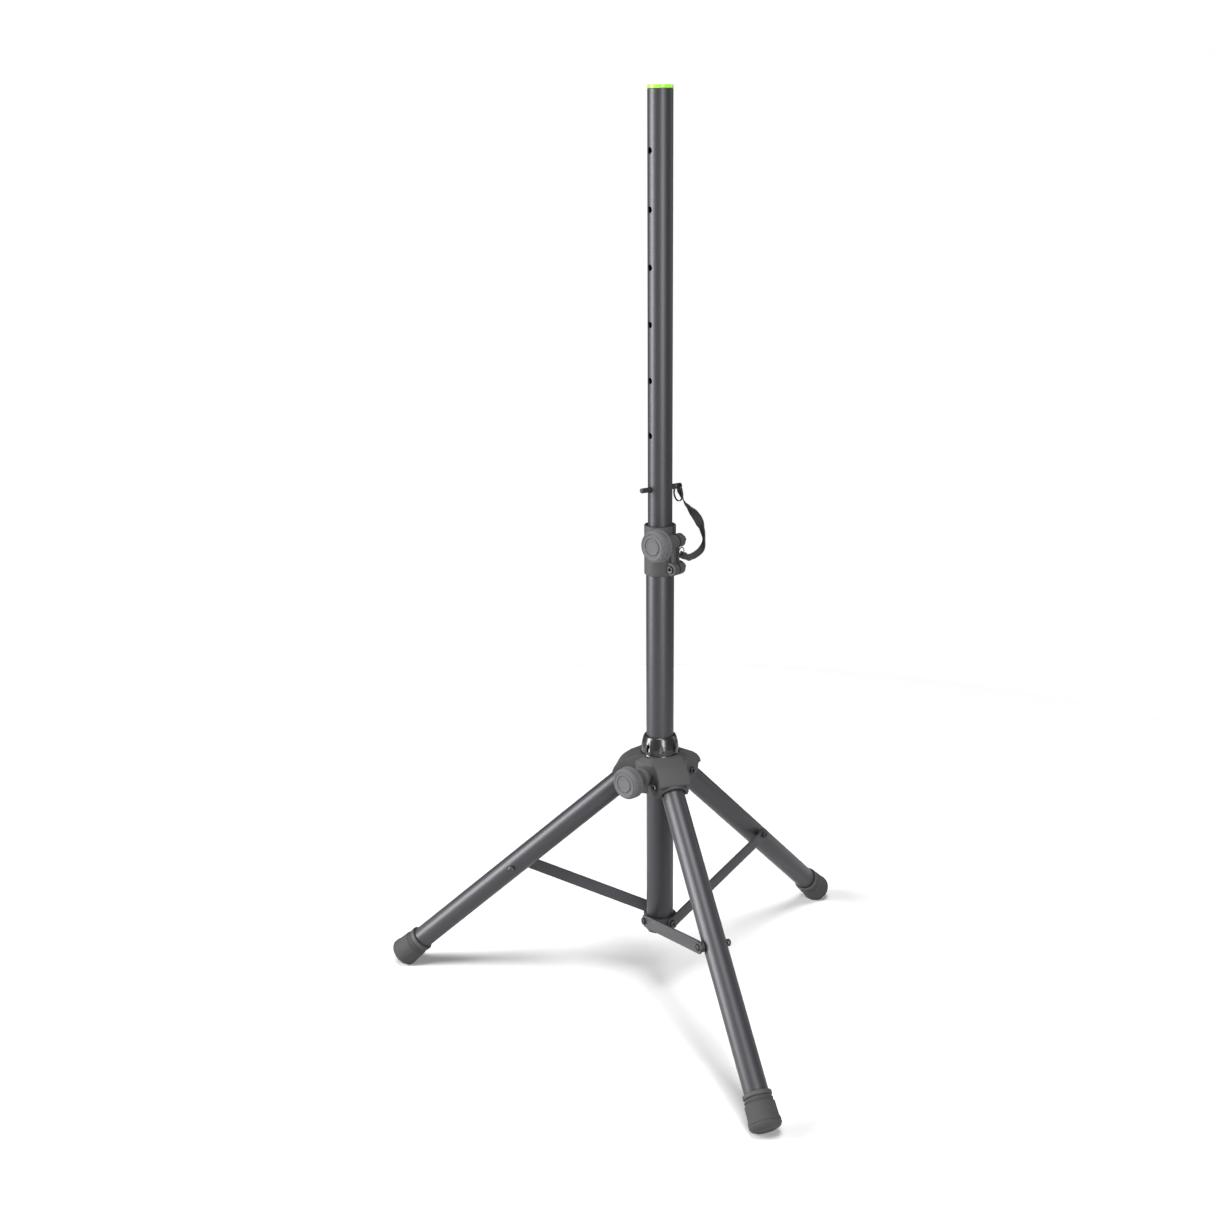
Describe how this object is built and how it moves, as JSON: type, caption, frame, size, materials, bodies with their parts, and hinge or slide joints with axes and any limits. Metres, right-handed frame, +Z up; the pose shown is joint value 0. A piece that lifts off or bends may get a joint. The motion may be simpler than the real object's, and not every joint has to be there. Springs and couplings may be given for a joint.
{
  "type": "speaker tripod stand",
  "caption": "Folding tripod stand with a telescoping pole, clamp knob, safety pin on a strap, sliding hub, braced legs and rubber feet; holds a loudspeaker on its pole.",
  "frame": {"origin": "on the floor, under the middle of the bounding box of the opened stand; the pole's axis is 101.85 mm towards +Y", "axes": "+Z up along the pole, -Y towards the front leg, +X to the right seen from the front"},
  "size_m": [0.757, 0.662, 1.335],
  "materials": {
    "black_powder_coat": "satin black powder coat on steel tube and strip",
    "moulded_black": "fine-grained black glass-filled nylon",
    "glossy_black": "glossy black moulding",
    "grip_rubber": "dark grey soft grip",
    "foot_rubber": "matt black rubber",
    "black_zinc": "black zinc plated steel fasteners",
    "black_nylon": "black nylon bushes and plugs",
    "green_plastic": "bright green plastic",
    "black_webbing": "woven black webbing"
  },
  "bodies": {
    "main": {"main_tube": "black_powder_coat", "clamp_bush": "black_nylon", "tube_end_plug": "black_nylon", "clamp_collar": "moulded_black", "clamp_lower_bolt": "black_zinc", "clamp_lower_nut": "black_zinc", "clamp_knob_nut": "black_zinc", "clamp_strap_ring": "black_zinc", "strap_lower": "black_webbing", "bottom_collar": "moulded_black", "collar_pin_front": "black_zinc", "collar_pin_right": "black_zinc", "collar_pin_left": "black_zinc"},
    "clamp_knob": {"clamp_knob_core": "moulded_black", "clamp_knob_grip": "grip_rubber", "clamp_knob_screw": "black_zinc"},
    "pole": {"pole_tube": "black_powder_coat", "pole_top_cap": "green_plastic", "pole_bottom_bush": "black_nylon", "strap_upper": "black_webbing"},
    "pin": {"safety_pin": "black_zinc", "pin_ring": "black_zinc"},
    "hub": {"hub_body": "moulded_black", "hub_ring": "glossy_black", "hub_bush": "black_nylon", "hub_brake_pad": "black_nylon", "hinge_bolt_front": "black_zinc", "hinge_bolt_right": "black_zinc", "hinge_bolt_left": "black_zinc", "hinge_nut_front": "black_zinc", "hinge_nut_right": "black_zinc", "hinge_nut_left": "black_zinc"},
    "hub_knob": {"hub_knob_core": "moulded_black", "hub_knob_grip": "grip_rubber", "hub_knob_screw": "black_zinc"},
    "leg_front": {"leg_front_tube": "black_powder_coat", "leg_front_plug": "black_nylon", "leg_front_strut_nut": "black_zinc", "foot_front_collar": "moulded_black", "foot_front_rubber": "foot_rubber"},
    "leg_right": {"leg_right_tube": "black_powder_coat", "leg_right_plug": "black_nylon", "leg_right_strut_nut": "black_zinc", "foot_right_collar": "moulded_black", "foot_right_rubber": "foot_rubber"},
    "leg_left": {"leg_left_tube": "black_powder_coat", "leg_left_plug": "black_nylon", "leg_left_strut_nut": "black_zinc", "foot_left_collar": "moulded_black", "foot_left_rubber": "foot_rubber"},
    "strut_front": {"strut_front": "black_powder_coat", "strut_front_bolt": "black_zinc", "strut_front_spacer": "black_nylon"},
    "strut_right": {"strut_right": "black_powder_coat", "strut_right_bolt": "black_zinc", "strut_right_spacer": "black_nylon"},
    "strut_left": {"strut_left": "black_powder_coat", "strut_left_bolt": "black_zinc", "strut_left_spacer": "black_nylon"}
  },
  "joints": [
    {"name": "height_slide", "type": "slide", "parent": "main", "child": "pole", "axis": [0, 0, 1], "range_m": [-0.046, 0.231], "deforming": ["strap_lower"]},
    {"name": "pin_pull", "type": "slide", "parent": "pole", "child": "pin", "axis": [0.9659, 0.2588, 0], "range_m": [0, 0.06]},
    {"name": "clamp_knob_turn", "type": "hinge", "parent": "main", "child": "clamp_knob", "pos_m": [-0.01991, 0.06033, 0.715], "axis": [-0.866, -0.5, 0], "range_deg": [0, 540]},
    {"name": "hub_slide", "type": "slide", "parent": "main", "child": "hub", "axis": [0, 0, 1], "range_m": [0, 0.24]},
    {"name": "hub_knob_turn", "type": "hinge", "parent": "hub", "child": "hub_knob", "pos_m": [-0.06062, 0.06685, 0.361], "axis": [-0.866, -0.5, 0], "range_deg": [0, 540]},
    {"name": "leg_fold_front", "type": "hinge", "parent": "hub", "child": "leg_front", "pos_m": [0, 0.05585, 0.3521], "axis": [1, 0, 0], "range_deg": [0, 42.95]},
    {"name": "leg_fold_right", "type": "hinge", "parent": "hub", "child": "leg_right", "pos_m": [0.03984, 0.12485, 0.3521], "axis": [-0.5, 0.866, 0], "range_deg": [0, 42.95]},
    {"name": "leg_fold_left", "type": "hinge", "parent": "hub", "child": "leg_left", "pos_m": [-0.03984, 0.12485, 0.3521], "axis": [-0.5, -0.866, 0], "range_deg": [0, 42.95]},
    {"name": "strut_fold_front", "type": "hinge", "parent": "main", "child": "strut_front", "pos_m": [0, 0.10185, 0.1155], "axis": [-1, 0, 0], "range_deg": [0, 56.86]},
    {"name": "strut_fold_right", "type": "hinge", "parent": "main", "child": "strut_right", "pos_m": [0, 0.10185, 0.1155], "axis": [0.5, -0.866, 0], "range_deg": [0, 56.86]},
    {"name": "strut_fold_left", "type": "hinge", "parent": "main", "child": "strut_left", "pos_m": [0, 0.10185, 0.1155], "axis": [0.5, 0.866, 0], "range_deg": [0, 56.86]}
  ],
  "couplings": [
    {"joint": "leg_fold_front", "follows": "hub_slide", "rad_per_m": 3.1229},
    {"joint": "leg_fold_right", "follows": "hub_slide", "rad_per_m": 3.1229},
    {"joint": "leg_fold_left", "follows": "hub_slide", "rad_per_m": 3.1229},
    {"joint": "strut_fold_front", "follows": "hub_slide", "rad_per_m": 4.1346},
    {"joint": "strut_fold_right", "follows": "hub_slide", "rad_per_m": 4.1346},
    {"joint": "strut_fold_left", "follows": "hub_slide", "rad_per_m": 4.1346}
  ]
}
